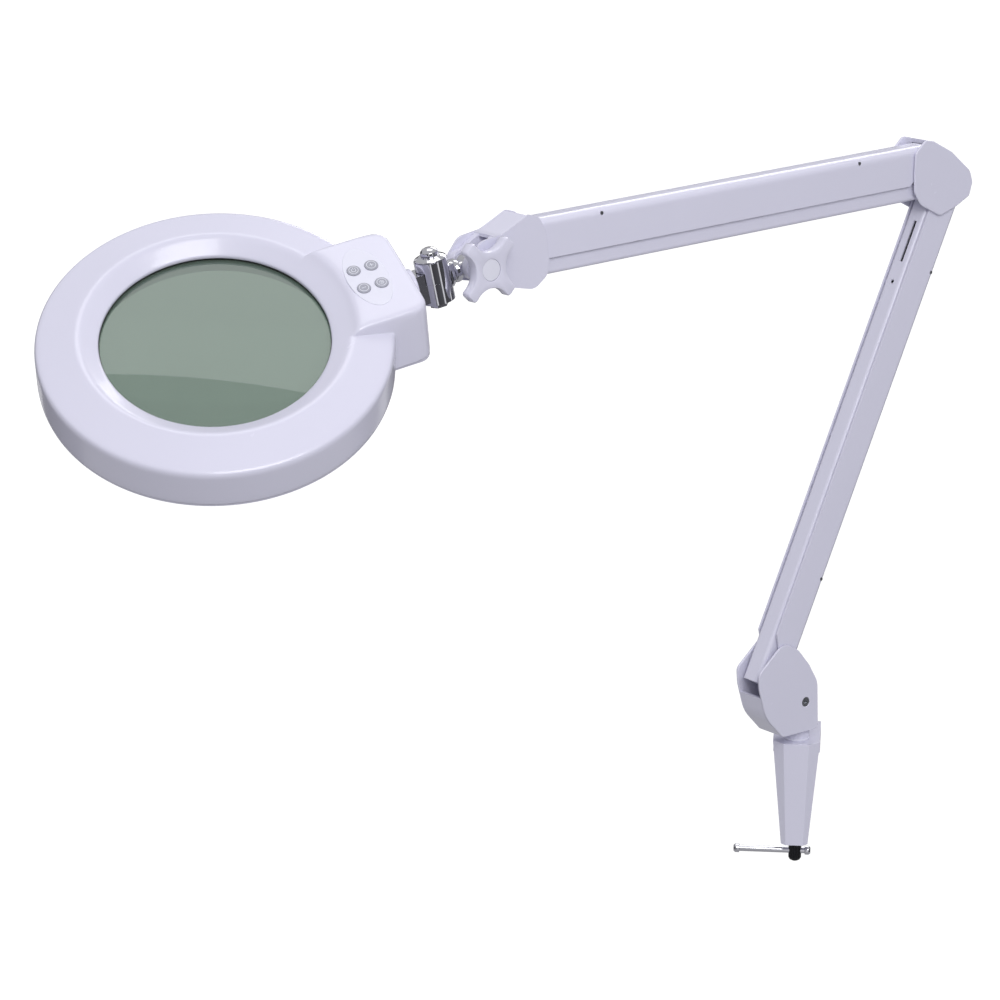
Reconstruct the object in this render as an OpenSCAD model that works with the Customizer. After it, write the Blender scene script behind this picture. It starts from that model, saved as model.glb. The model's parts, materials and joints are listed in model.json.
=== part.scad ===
// Magnifying lamp: table clamp, two parallelogram arms and a ring-lit lens head on a chrome joint.
// Millimetres, +Z up. The origin is the middle of the clamp's upper contact face.

/* [Size] */
// Distance between the two pivots of each arm
arm_length = 370; // [300:5:420]
// Outer radius of the head
head_r = 117; // [115:0.5:120]
// Radius of the lens that can be seen
lens_r = 75.5; // [72:0.5:77]
// Gap between the clamp's jaws
jaw_gap = 56; // [50:1:62]
// How far the pressure plate stands below the upper jaw
plate_gap = 14; // [6:1:44]

/* [Pose] */
// Turn of the whole arm about the upright swivel pin
swivel = 44; // [-150:1:150]
// Lean of the lower arm from upright, away from the head
lower_lean = 25.5; // [0:0.5:30]
// Fall of the upper arm below level, towards the head
upper_fall = 2.4; // [-20:0.1:20]
// Fall of the chrome neck below level
neck_fall = 13.5; // [-30:0.5:45]
// Turn of the head about the chrome hinge pin
head_turn = 16; // [-30:0.5:45]
// Roll of the head about its shank
head_roll = 29; // [-60:1:90]
// Turn of the star knob
knob_turn = 48; // [0:1:90]

/* [Fits] */
// Radial gap of each pin or shaft that turns in a hole
run_gap = 0.05; // [0.02:0.01:0.1]

/* [Hidden] */
$fn = 48;

// clamp
clamp_top = 16;
swivel_y = -32;
spine_front = -48;
spine_back = -20;
jaw_end = 20;
jaw_pad_t = 2;
jaw_bottom = -jaw_gap;
lower_jaw_t = 8;
clamp_bottom = jaw_bottom - lower_jaw_t;
bush_r = 9.5;
swivel_pin_r = 6;
swivel_depth = 26;
screw_r = 5;
screw_pitch = 2;
plate_z = -plate_gap;
screw_head_top = plate_z - 64;
bar_z = screw_head_top - 7;
bar_r = 2.4;
bar_half = 25;
bar_slide = -17.5;

// arm section: x is across the arm, 0 at the pivot line, y is along the pivot pins, z is along the arm
outer_web = 10;
outer_lip = -18;
outer_half = 10.5;
outer_wall = 1.5;
outer_round = 6;
inner_web = -8;
inner_lip = 12;
inner_half = 8;
inner_wall = 1.2;
inner_round = 3;
end_reach = 5;
outer_pin_r = 3;
inner_pin_r = 2.5;
outer_pin_half = 10.9;
inner_pin_half = 8.7;

// springs
spring_r = 2.4;
spring_wire = 0.6;
spring_coils = 60;
spring_x = 6;
spring_y = 3.3;
post_r = 1.4;
post_spots = [64, arm_length - 64];

// knuckles
cheek_in = 11;
cheek_out = 13;
lug_half = 6;
outer_lug_r = 7;
inner_lug_r = 5.8;
link_gap = 22;
link_tilt = 55.5;
base_outer = [-21.3, 68.8];
lower_link = link_gap * [sin(link_tilt), cos(link_tilt)];
base_inner = base_outer - lower_link;
elbow_upper = [-34, 25.2];
head_pivot_to_tilt = [-43.8, -16];

// chrome joint
tilt_r = 3;
eye_r = 7.8;
ear_r = 9.6;
eye_half = 5.6;
neck_reach = 29;
barrel_r = 11.4;
barrel_h = 14.6;
pin_r = 3;
shank_r = 5;
shank_to_centre = 156;
shank_z = -9;
shank_end = 34;

// head
crest_r = lens_r + 13;
crest_z = 7.3;
rim_z = 0;
side_bottom = -28;
head_bottom = -30.5;
skin = 2.2;
block_x = 136;
collar_x = shank_to_centre - block_x;
block_top = 11.5;
block_top_half = 39;
block_bottom_half = 47.5;
block_round = 10;
panel_x = 108.5;
panel_y = 1.5;
panel_long = 27;
panel_wide = 14;
button_r = 4.6;
button_pitch_x = 12.6;
button_pitch_y = 17.2;

// ---------- helpers ----------

// Points of a closed outline whose corners [x, y, radius] are rounded; radius 0 keeps the corner sharp.
function unit(v) = v / norm(v);
function corner_arc(before, at, after, r, steps = 6) =
    let (
        a = unit([before.x - at.x, before.y - at.y]),
        b = unit([after.x - at.x, after.y - at.y]),
        half = acos(min(1, max(-1, a * b))) / 2,
        centre = [at.x, at.y] + unit(a + b) * r / sin(half),
        from = [at.x, at.y] + a * r / tan(half) - centre,
        to = [at.x, at.y] + b * r / tan(half) - centre,
        start = atan2(from.y, from.x),
        turn = atan2(from.x * to.y - from.y * to.x, from * to)
    )
    [for (i = [0:steps]) centre + r * [cos(start + turn * i / steps), sin(start + turn * i / steps)]];
function rounded(p) = [
    for (i = [0:len(p) - 1])
        let (arc = p[i].z > 0
            ? corner_arc(p[(i + len(p) - 1) % len(p)], p[i], p[(i + 1) % len(p)], p[i].z)
            : [[p[i].x, p[i].y]])
        for (q = arc) q
];

// A flat outline in the arm plane (x across, y of the outline is up) made y0 to y1 thick.
module slab(y0, y1) {
    translate([0, y1, 0]) rotate([90, 0, 0]) linear_extrude(y1 - y0) children();
}

// A round bar along y, centred on [x, z].
module bar_y(r, y0, y1, at = [0, 0]) {
    translate([at.x, y1, at.y]) rotate([90, 0, 0]) cylinder(r = r, h = y1 - y0);
}

// A flat shape around two points.
module link_outline(a, b, ra, rb) {
    d = b - a;
    long = norm(d);
    translate(a) circle(ra);
    translate(b) circle(rb);
    translate(a) rotate(atan2(d.y, d.x)) polygon([[0, -ra], [long, -rb], [long, rb], [0, ra]]);
}

// ---------- frames ----------

module in_base() {
    translate([0, swivel_y, clamp_top]) rotate([0, 0, swivel]) children();
}

module in_lower() {
    in_base() translate([base_outer.x, 0, base_outer.y]) rotate([0, lower_lean, 0]) children();
}

module in_lower_inner() {
    in_base() translate([base_inner.x, 0, base_inner.y]) rotate([0, lower_lean, 0]) children();
}

elbow = base_outer + arm_length * [sin(lower_lean), cos(lower_lean)];

module in_elbow() {
    in_base() translate([elbow.x, 0, elbow.y]) children();
}

module in_upper() {
    in_elbow() translate([elbow_upper.x, 0, elbow_upper.y]) rotate([0, -90 - upper_fall, 0]) children();
}

module in_upper_inner() {
    in_elbow() translate([elbow_upper.x, 0, elbow_upper.y - link_gap]) rotate([0, -90 - upper_fall, 0]) children();
}

module in_head_knuckle() {
    in_elbow()
        translate([elbow_upper.x - arm_length * cos(upper_fall), 0, elbow_upper.y - arm_length * sin(upper_fall)])
            children();
}

// neck frame: origin on the tilt bolt, -x along the neck
module in_neck() {
    in_head_knuckle() translate([head_pivot_to_tilt.x, 0, head_pivot_to_tilt.y]) rotate([0, -neck_fall, 0]) children();
}

// shank frame: origin on the hinge pin, -x along the shank
module in_shank() {
    in_neck() translate([-neck_reach, 0, 0]) rotate([0, 0, -head_turn]) children();
}

// head frame: origin at the lens centre in the plane of the rim, +x towards the shank
module in_head() {
    in_shank() rotate([head_roll, 0, 0]) translate([-shank_to_centre, 0, -shank_z]) children();
}

// ---------- clamp ----------

module spine_plan(half_w, chamfer) {
    polygon([
        [-half_w, spine_back], [-half_w, spine_front + chamfer], [-half_w + chamfer, spine_front],
        [half_w - chamfer, spine_front], [half_w, spine_front + chamfer], [half_w, spine_back]
    ]);
}

module clamp_frame() color("GhostWhite") {
    difference() {
        union() {
            hull() {
                translate([0, 0, clamp_top - 1]) linear_extrude(1) spine_plan(17.5, 8);
                translate([0, 0, clamp_bottom]) linear_extrude(1) spine_plan(10, 3.5);
            }
            // upper jaw
            translate([-17.5, 0, 0]) rotate([90, 0, 90]) linear_extrude(35) polygon([
                [spine_back - 4, jaw_pad_t], [jaw_end, jaw_pad_t], [jaw_end, 10], [jaw_end - 4, clamp_top - 2],
                [spine_back + 8, clamp_top], [spine_back - 4, clamp_top]
            ]);
            // lower jaw
            translate([0, 0, clamp_bottom]) linear_extrude(lower_jaw_t) {
                circle(10);
                polygon([[-10, 0], [-10, spine_back - 2], [10, spine_back - 2], [10, 0]]);
            }
        }
        translate([0, swivel_y, clamp_top - swivel_depth]) cylinder(r = 8, h = swivel_depth + 1);
        translate([0, 0, clamp_bottom - 1]) cylinder(r = screw_r + run_gap, h = lower_jaw_t + 2);
    }
}

module swivel_bush() color("WhiteSmoke") translate([0, swivel_y, 0]) difference() {
    union() {
        translate([0, 0, clamp_top - swivel_depth]) cylinder(r = 8, h = swivel_depth);
        translate([0, 0, clamp_top]) cylinder(r = bush_r, h = 2);
    }
    translate([0, 0, clamp_top - swivel_depth + 2]) cylinder(r = swivel_pin_r + run_gap, h = swivel_depth + 1);
}

module jaw_pad() color("DimGray") translate([-15, spine_back + 3, 0]) cube([30, jaw_end - spine_back - 5, jaw_pad_t]);

// A round bar along x.
module bar_x(r, x0, x1, z) {
    translate([x0, 0, z]) rotate([0, 90, 0]) cylinder(r = r, h = x1 - x0);
}

module clamp_screw() color("DimGray") difference() {
    union() {
        translate([0, 0, screw_head_top - 1]) cylinder(r = screw_r - 0.7, h = plate_z - 8.2 - screw_head_top + 1);
        for (z = [screw_head_top + 2:screw_pitch:plate_z - 11])
            translate([0, 0, z]) rotate_extrude() polygon([
                [0, 0], [screw_r - 0.7, 0], [screw_r, 0.4], [screw_r, 1], [screw_r - 0.7, 1.4], [0, 1.4]
            ]);
        translate([0, 0, screw_head_top - 15]) rotate_extrude() polygon([
            [0, 0], [2.4, 0], [4, 0.9], [4.9, 2.6], [4.9, 13.8], [4, 15], [0, 15]
        ]);
        translate([0, 0, plate_z - 9]) cylinder(r = 3, h = 4.3);
    }
    bar_x(bar_r + run_gap, -8, 8, bar_z);
}

module pressure_plate() color("Silver") difference() {
    union() {
        translate([0, 0, plate_z - 8]) cylinder(r = 6, h = 5);
        translate([0, 0, plate_z - 4]) cylinder(r = 13, h = 2);
    }
    translate([0, 0, plate_z - 9]) cylinder(r = 3 + run_gap, h = 4.5);
}

module pressure_pad() color("DimGray") translate([0, 0, plate_z - 2]) cylinder(r = 12, h = 2);

module tommy_bar() color("Silver") bar_x(bar_r, bar_slide - bar_half, bar_slide + bar_half, bar_z);

module tommy_bar_caps() color("Silver") {
    for (side = [-1, 1])
        translate([bar_slide + side * bar_half, 0, bar_z]) rotate([0, side * 90, 0]) rotate_extrude()
            polygon([[0, 0], [3.4, 0], [3.4, 3], [2.4, 4.4], [0, 4.4]]);
}

// ---------- base knuckle ----------

base_cheek = rounded([
    [-27, 82, 9], [-12, 74, 10], [-1, 61, 20], [8, 46, 16], [9.5, 9, 5], [-26, 9, 5], [-43, 27, 30], [-50, 50, 20],
    [-51, 62, 6]
]);

module base_cheek_outline() polygon(base_cheek);

module swivel_pin() color("Silver") in_base() {
    translate([0, 0, 2 - swivel_depth]) cylinder(r = swivel_pin_r, h = swivel_depth - 2 + 10);
    translate([0, 0, 10]) cylinder(r = 8, h = 3);
}

module base_core() color("GhostWhite") in_base() difference() {
    union() {
        slab(-lug_half, lug_half) {
            link_outline(base_inner, base_outer, inner_lug_r, outer_lug_r);
            polygon([[-33, 61], [-25, 66], [-17, 55], [-12, 30], [0, 20], [-20, 15], [-26, 30]]);
            translate([-6, 34]) circle(7);
        }
        slab(-cheek_in, cheek_in) {
            polygon([[-24, 9], [7.5, 9], [7.5, 18], [-31, 18]]);
            difference() {
                intersection() {
                    base_cheek_outline();
                    polygon([[-60, 43], [-20, 43], [-20, 5], [-60, 5]]);
                }
                translate([2.4, 1.5]) base_cheek_outline();
            }
            translate([-3.6, 32.2]) circle(5);
        }
        translate([0, 0, 2]) cylinder(r = bush_r, h = 8);
    }
    translate([0, 0, -1]) cylinder(r = swivel_pin_r, h = 11);
    translate([0, 0, 10]) cylinder(r = 8, h = 3);
    bar_y(outer_pin_r, -12, 12, base_outer);
    bar_y(inner_pin_r, -12, 12, base_inner);
    bar_y(2, -12, 12, [-3.6, 32.2]);
}

module base_front_cheek() color("GhostWhite") in_base() difference() {
    slab(-cheek_out, -cheek_in) base_cheek_outline();
    bar_y(3.6, -14, -10, [-3.6, 32.2]);
}

module base_back_cheek() color("GhostWhite") in_base() difference() {
    slab(cheek_in, cheek_out) base_cheek_outline();
    bar_y(3.6, 10, 14, [-3.6, 32.2]);
}

// A cheek screw: head flush in the cheek, shaft in the core's boss.
module cheek_screw(at, side) {
    difference() {
        union() {
            bar_y(3.6, min(side * cheek_in, side * 12.6), max(side * cheek_in, side * 12.6), at);
            bar_y(2, min(side * 2, side * cheek_in), max(side * 2, side * cheek_in), at);
        }
        translate([at.x, side * 12.6, at.y]) rotate([90, 30, 0]) cylinder(r = 1.8, h = 2.4, center = true, $fn = 6);
    }
}

module base_screws() color("Silver") in_base() for (side = [-1, 1]) cheek_screw([-3.6, 32.2], side);

module base_pins() color("Silver") in_base() {
    bar_y(outer_pin_r, -outer_pin_half, outer_pin_half, base_outer);
    bar_y(inner_pin_r, -inner_pin_half, inner_pin_half, base_inner);
}

// ---------- arms ----------

// U-shaped section, its web towards +x.
module channel_plan(web, lip, half, wall, round_r) {
    difference() {
        polygon(rounded([[lip, -half, 0], [web, -half, round_r], [web, half, round_r], [lip, half, 0]]));
        polygon(rounded([
            [lip - 1, wall - half, 0], [web - wall, wall - half, round_r - wall], [web - wall, half - wall, round_r - wall],
            [lip - 1, half - wall, 0]
        ]));
    }
}

module outer_channel() {
    top = arm_length + end_reach;
    difference() {
        intersection() {
            translate([0, 0, -end_reach]) linear_extrude(arm_length + 2 * end_reach)
                channel_plan(outer_web, outer_lip, outer_half, outer_wall, outer_round);
            slab(-outer_half - 1, outer_half + 1) polygon([
                [outer_web + 1, -end_reach], [outer_web + 1, top], [-5, top], [-8, arm_length],
                [outer_lip - 1, arm_length - 15], [outer_lip - 1, 15], [-8, 0], [-5, -end_reach]
            ]);
        }
        for (z = [0, arm_length]) bar_y(outer_pin_r + run_gap, -12, 12, [0, z]);
        for (z = post_spots) bar_y(post_r, -12, 12, [spring_x, z]);
    }
}

module inner_channel() {
    top = arm_length + end_reach;
    difference() {
        intersection() {
            translate([0, 0, -end_reach]) linear_extrude(arm_length + 2 * end_reach)
                mirror([1, 0]) channel_plan(-inner_web, -inner_lip, inner_half, inner_wall, inner_round);
            slab(-inner_half - 1, inner_half + 1) polygon([
                [inner_web - 1, -end_reach], [inner_web - 1, top], [4.5, top], [4.5, arm_length - 26],
                [inner_lip + 1, arm_length - 36], [inner_lip + 1, 36], [4.5, 26], [4.5, -end_reach]
            ]);
        }
        for (z = [0, arm_length]) bar_y(inner_pin_r + run_gap, -12, 12, [0, z]);
    }
}

module lower_outer_channel() color("GhostWhite") in_lower() outer_channel();

module lower_inner_channel() color("GhostWhite") in_lower_inner() difference() {
    inner_channel();
    // slot over the lead and a small hole below it
    translate([inner_web - 1, -3, arm_length - 46]) cube([3, 3, 32]);
    translate([inner_web - 1, 0, arm_length - 62]) rotate([0, 90, 0]) cylinder(r = 1.6, h = 3);
}

module upper_outer_channel() color("GhostWhite") in_upper() outer_channel();

module upper_inner_channel() color("GhostWhite") in_upper_inner() inner_channel();

// Two tension springs side by side between the cross posts, drawn as close rings.
module spring_pair() {
    from = post_spots[0] + post_r;
    to = post_spots[1] - post_r;
    pitch = (to - from - 10) / spring_coils;
    for (y = [-spring_y, spring_y]) translate([spring_x, y, 0]) {
        for (z = [from, to - 5.5]) translate([0, 0, z]) cylinder(r = 1, h = 5.5, $fn = 16);
        for (z = [from + 5, to - 6]) translate([0, 0, z]) cylinder(r = spring_r - 0.3, h = 1, $fn = 24);
        translate([0, 0, from + 5]) rotate_extrude($fn = 24) polygon(concat(
            [[spring_r - 2 * spring_wire, 0]],
            [for (i = [0:spring_coils - 1]) each [
                [spring_r, (i + 0.5) * pitch], [spring_r - spring_wire, (i + 1) * pitch]
            ]],
            [[spring_r - 2 * spring_wire, spring_coils * pitch]]
        ));
    }
}

module lower_springs() color("Silver") in_lower() spring_pair();

module upper_springs() color("Silver") in_upper() spring_pair();

module spring_posts() {
    for (z = post_spots) bar_y(post_r, -outer_half + 0.3, outer_half - 0.3, [spring_x, z]);
}

module lower_spring_posts() color("Silver") in_lower() spring_posts();

module upper_spring_posts() color("Silver") in_upper() spring_posts();

// Two-core lead lying along the inside of an inner channel's web.
module arm_lead() {
    translate([inner_web + inner_wall + 1.1, -1.5, 14]) cylinder(r = 1.1, h = arm_length - 28, $fn = 16);
}

module lower_lead() color("DimGray") in_lower_inner() arm_lead();

module upper_lead() color("DimGray") in_upper_inner() arm_lead();

// ---------- elbow ----------

elbow_cheek = rounded([
    [-44.5, 15, 4], [-44, 31, 5], [-34, 40, 5], [-26, 38.5, 4], [-7, 29, 12], [13, 13, 10], [16, 4, 4], [13, -6, 4],
    [-1, -13, 10], [-17, -18, 6], [-37, -8, 12], [-44, 2, 8]
]);

module elbow_cheek_outline() polygon(elbow_cheek);

elbow_boss = [-13, 19];

module elbow_core() color("GhostWhite") in_elbow() difference() {
    union() {
        slab(-lug_half, lug_half) {
            link_outline(-lower_link, [0, 0], inner_lug_r, outer_lug_r);
            link_outline(elbow_upper - [0, link_gap], elbow_upper, inner_lug_r, outer_lug_r);
            polygon([[-14, -10], [-2, 4], [-6, 14], [-8, 28], [-20, 27], [-22, 22], [-32, 21], [-32, 7], [-20, 4]]);
        }
        slab(-cheek_in, cheek_in) {
            difference() {
                intersection() {
                    elbow_cheek_outline();
                    polygon([[-25, 50], [-25, 33], [-6, 24], [6, 12], [14, 12], [14, 30]]);
                }
                translate([-1.4, -2.4]) elbow_cheek_outline();
            }
            translate(elbow_boss) circle(5);
        }
    }
    bar_y(outer_pin_r, -12, 12);
    bar_y(inner_pin_r, -12, 12, -lower_link);
    bar_y(outer_pin_r, -12, 12, elbow_upper);
    bar_y(inner_pin_r, -12, 12, elbow_upper - [0, link_gap]);
    bar_y(2, -12, 12, elbow_boss);
}

module elbow_front_cheek() color("GhostWhite") in_elbow() slab(-cheek_out, -cheek_in) elbow_cheek_outline();

module elbow_back_cheek() color("GhostWhite") in_elbow() difference() {
    slab(cheek_in, cheek_out) elbow_cheek_outline();
    bar_y(3.6, 10, 14, elbow_boss);
}

module elbow_screws() color("Silver") in_elbow() cheek_screw(elbow_boss, 1);

module elbow_pins() color("Silver") in_elbow() {
    for (at = [[0, 0], elbow_upper]) bar_y(outer_pin_r, -outer_pin_half, outer_pin_half, at);
    for (at = [-lower_link, elbow_upper - [0, link_gap]]) bar_y(inner_pin_r, -inner_pin_half, inner_pin_half, at);
}

// ---------- head knuckle ----------

tilt = head_pivot_to_tilt;
head_cheek = rounded([
    [-2.5, 15, 4], [6, 13, 8], [13, 2, 12], [15.5, -17, 10], [14, -28, 8], [3, -36.5, 10], [-14, -33.5, 20],
    [tilt.x + 1, tilt.y - 12.2, 14], [tilt.x - 14, tilt.y - 2, 11], [tilt.x + 1, tilt.y + 17, 10], [-24, 4.3, 20]
]);

module head_cheek_outline() polygon(head_cheek);

head_knuckle_boss = [-22, -14];

module head_knuckle_core() color("GhostWhite") in_head_knuckle() difference() {
    union() {
        slab(-lug_half, lug_half) {
            link_outline([0, -link_gap], [0, 0], inner_lug_r, outer_lug_r);
            polygon([[0, -4], [-14, -3], [-20, 0], [-29, -6], [-29, -26], [-20, -28], [-12, -20], [0, -19]]);
        }
        slab(-cheek_in, cheek_in) {
            translate(head_knuckle_boss) circle(5);
            difference() {
                intersection() {
                    head_cheek_outline();
                    polygon([[-30, 20], [-3, 20], [-3, 5], [-30, -8]]);
                }
                translate([0.6, -2.4]) head_cheek_outline();
            }
        }
        // ears beside the neck's eye
        for (side = [-1, 1]) slab(side > 0 ? lug_half : -cheek_in, side > 0 ? cheek_in : -lug_half) {
            translate(tilt) circle(ear_r);
            polygon([tilt + [0, ear_r], [-30, 2.6], [-23, 4], [-23, -30], tilt + [0, -ear_r]]);
        }
    }
    bar_y(outer_pin_r, -12, 12);
    bar_y(inner_pin_r, -12, 12, [0, -link_gap]);
    bar_y(tilt_r, -12, 12, tilt);
    bar_y(2, -12, 12, head_knuckle_boss);
}

module head_knuckle_front_cheek() color("GhostWhite") in_head_knuckle() difference() {
    slab(-cheek_out, -cheek_in) head_cheek_outline();
    bar_y(tilt_r, -14, -10, tilt);
}

module head_knuckle_back_cheek() color("GhostWhite") in_head_knuckle() difference() {
    slab(cheek_in, cheek_out) head_cheek_outline();
    bar_y(tilt_r, 10, 14, tilt);
    bar_y(3.6, 10, 14, head_knuckle_boss);
}

module head_knuckle_screws() color("Silver") in_head_knuckle() cheek_screw(head_knuckle_boss, 1);

module head_knuckle_pins() color("Silver") in_head_knuckle() {
    bar_y(outer_pin_r, -outer_pin_half, outer_pin_half);
    bar_y(inner_pin_r, -inner_pin_half, inner_pin_half, [0, -link_gap]);
}

module tilt_bolt() color("Silver") in_head_knuckle() {
    bar_y(tilt_r, -22, cheek_out, tilt);
    bar_y(5.5, cheek_out, cheek_out + 4, tilt);
}

// ---------- star knob ----------

knob_back = -18;
knob_front = -26;
knob_lobe = 24.6;
knob_waist = 12.5;
knob_scoop = 15;

module knob_outline() difference() {
    square(2 * knob_lobe, center = true);
    for (a = [45:90:315]) rotate(a) translate([knob_waist + knob_scoop, 0]) circle(knob_scoop);
}

module star_knob() color("GhostWhite") in_head_knuckle() translate([tilt.x, 0, tilt.y]) rotate([0, -knob_turn, 0])
    difference() {
        union() {
            slab(knob_front, knob_back) knob_outline();
            bar_y(9, knob_back, -cheek_out - 0.2);
        }
        bar_y(tilt_r + run_gap, -22.3, 0);
        bar_y(7.5, knob_front - 1, knob_front + 1.2);
    }

module knob_cap() color("WhiteSmoke") in_head_knuckle() bar_y(7.3, knob_front + 0.4, knob_front + 1.2, tilt);

// ---------- chrome joint ----------

module neck() color("Silver") in_neck() difference() {
    union() {
        bar_y(eye_r, -eye_half, eye_half);
        translate([-20, 0, 0]) rotate([0, 90, 0]) cylinder(r = 5.2, h = 16);
        translate([-18, 0, 0]) rotate([0, 90, 0]) rotate_extrude() polygon([
            [0, -2], [9.6, -2], [9.6, -0.2], [7.8, 1.8], [7.3, 4], [8.2, 6], [8.2, 7.2], [0, 7.2]
        ]);
        translate([-neck_reach, 0, 0.05]) cylinder(r = barrel_r, h = barrel_h);
        translate([-neck_reach, 0, 0.05]) linear_extrude(8.2) polygon([[0, -8.2], [12, -8.2], [12, 8.2], [0, 8.2]]);
    }
    bar_y(tilt_r + run_gap, -12, 12);
    translate([-neck_reach, 0, -1]) cylinder(r = pin_r + run_gap, h = 20);
    // room for the lower hinge half
    translate([-neck_reach, 0, -19.95]) cylinder(r = barrel_r + 0.5, h = 20);
}

module hinge_pin() color("Silver") in_shank() {
    translate([0, 0, -barrel_h - 4]) cylinder(r = pin_r, h = 2 * barrel_h + 8);
    translate([0, 0, barrel_h + 3.4]) rotate_extrude() polygon([
        [0, 0], [6, 0], [6, 2], [4.6, 3.6], [2.4, 4.6], [0, 5]
    ]);
}

module cone_washer() color("Silver") in_shank() difference() {
    translate([0, 0, barrel_h + 0.1]) rotate_extrude() polygon([[0, 0], [10.8, 0], [10.8, 0.8], [6.4, 3.2], [0, 3.2]]);
    translate([0, 0, barrel_h - 1]) cylinder(r = pin_r, h = 6);
}

module hinge_nut() color("Silver") in_shank() difference() {
    translate([0, 0, -barrel_h - 4]) cylinder(r = 6.4, h = 3.9, $fn = 6);
    translate([0, 0, -barrel_h - 5]) cylinder(r = pin_r, h = 6);
}

module shank() color("Silver") in_shank() difference() {
    union() {
        translate([0, 0, -barrel_h]) cylinder(r = barrel_r, h = barrel_h);
        translate([-15, -8, -barrel_h + 2]) cube([15, 16, barrel_h + 6]);
        translate([-collar_x - shank_end, 0, 0]) rotate([0, 90, 0]) cylinder(r = shank_r, h = collar_x + shank_end - 8);
    }
    translate([0, 0, -barrel_h - 1]) cylinder(r = pin_r, h = 40);
    // room for the upper hinge half
    cylinder(r = barrel_r + 0.6, h = 20);
}

// ---------- head ----------

module shank_collar() color("GhostWhite") in_head() translate([block_x, 0, shank_z]) rotate([0, 90, 0]) difference() {
    union() {
        translate([0, 0, -14]) cylinder(r = 9, h = 14);
        cylinder(r = 12, h = 5);
    }
    translate([0, 0, -20]) cylinder(r = shank_r + run_gap, h = 40);
}

module shank_nut() color("Silver") in_head() translate([block_x - 30, 0, shank_z]) rotate([0, 90, 0]) difference() {
    cylinder(r = 8, h = 5, $fn = 6);
    translate([0, 0, -1]) cylinder(r = shank_r, h = 8);
}

// The round cover, cut through one side: its crest stands above the lens and above the outer rim.
cover_outline = rounded([
    [lens_r, -2.2, 0], [lens_r, 0, 0.6], [crest_r, crest_z, 10], [head_r, rim_z, 5], [head_r, side_bottom, 1.5],
    [lens_r + 5, side_bottom, 0], [lens_r + 5, -2.2, 0]
]);
cover_cavity = [
    [lens_r + 5, side_bottom - 1], [lens_r + 5, 0.4], [crest_r, crest_z - 2.4], [head_r - 6, -0.9],
    [head_r - skin, -5], [head_r - skin, side_bottom - 1]
];

// Outline of the control block at one height; its front and back walls spread downwards.
module block_plate(half, grow = 0) {
    end = block_x + grow;
    polygon(rounded([
        [lens_r + 5, half + grow, 0], [end, half + grow, block_round + grow],
        [end, -half - grow, block_round + grow], [lens_r + 5, -half - grow, 0]
    ]));
}

// The block's solid; its lens side slopes up from the crest.
module block_solid(grow = 0) {
    difference() {
        hull() {
            translate([0, 0, block_top + grow - 0.1]) linear_extrude(0.1) block_plate(block_top_half - 2, grow);
            translate([0, 0, block_top + grow - 2.5]) linear_extrude(0.1) block_plate(block_top_half, grow);
            translate([0, 0, side_bottom + min(grow, 0)]) linear_extrude(0.1) block_plate(block_bottom_half, grow);
        }
        translate([0, 0, crest_z - 5])
            cylinder(r1 = crest_r - 6 - 1.5 * grow, r2 = crest_r + 14 - 1.5 * grow, h = 20, $fn = 180);
    }
}

module panel_outline(grow = 0) {
    polygon([for (a = [0:6:354]) [
        panel_x + (panel_wide + grow) * cos(a), panel_y + (panel_long + grow) * sin(a)
    ]]);
}

button_spots = [for (y = [0.5, -0.5], x = [-0.5, 0.5]) [
    panel_x + x * button_pitch_x, panel_y + y * button_pitch_y
]];
screw_angles = [40, 100, 160, 200, 260, 320];
screw_ring = head_r - 6;

module top_cover() color("GhostWhite") in_head() difference() {
    union() {
        difference() {
            union() {
                rotate_extrude($fn = 180) polygon(cover_outline);
                block_solid();
            }
            rotate_extrude($fn = 180) polygon(cover_cavity);
            block_solid(-skin);
        }
        // wall that holds the lens
        rotate_extrude($fn = 180) polygon([
            [lens_r + 2, -2], [lens_r + 5, -2], [lens_r + 3.5, -10], [lens_r + 2, -10]
        ]);
        // bosses for the cover screws, and posts for the button board
        for (a = screw_angles) rotate(a) translate([screw_ring, 0, side_bottom]) cylinder(r = 3.2, h = -side_bottom);
        for (side = [-1, 1]) translate([panel_x, panel_y + side * 16, block_top - 5.4]) cylinder(r = 1.6, h = 4);
    }
    translate([0, 0, block_top - 1.2]) linear_extrude(3) panel_outline(0.1);
    for (at = button_spots) translate([at.x, at.y, block_top - 4]) cylinder(r = button_r + 0.5, h = 5);
    translate([block_x - 10, 0, shank_z]) rotate([0, 90, 0]) cylinder(r = 9, h = 12);
    for (a = screw_angles) rotate(a) translate([screw_ring, 0, side_bottom - 1]) cylinder(r = 1.4, h = 16);
}

module bottom_cover() color("GhostWhite") in_head() difference() {
    union() {
        translate([0, 0, head_bottom]) cylinder(r = head_r - 0.8, h = side_bottom - head_bottom, $fn = 180);
        translate([0, 0, head_bottom]) linear_extrude(side_bottom - head_bottom) block_plate(block_bottom_half, -0.8);
    }
    translate([0, 0, head_bottom - 1]) cylinder(r = 106, h = 10, $fn = 180);
    for (a = screw_angles) rotate(a) translate([screw_ring, 0, head_bottom - 1]) {
        cylinder(r = 2.7, h = 2.6);
        cylinder(r = 1.6, h = 10);
    }
}

module cover_screws() color("Silver") in_head() for (a = screw_angles) rotate(a) translate([screw_ring, 0, head_bottom])
    difference() {
        union() {
            cylinder(r = 2.6, h = 1.5);
            cylinder(r = 1.35, h = 17);
        }
        translate([0, 0, -1]) cylinder(r = 1.2, h = 1.8, $fn = 6);
    }

// Heights of a dome of the given rise over radius lens_r, from the middle out.
function dome(rise, base, steps = 12) = [
    for (i = [0:steps]) [(lens_r + 1.2) * i / steps, base + rise * (1 - pow(i / steps, 2))]
];

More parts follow.
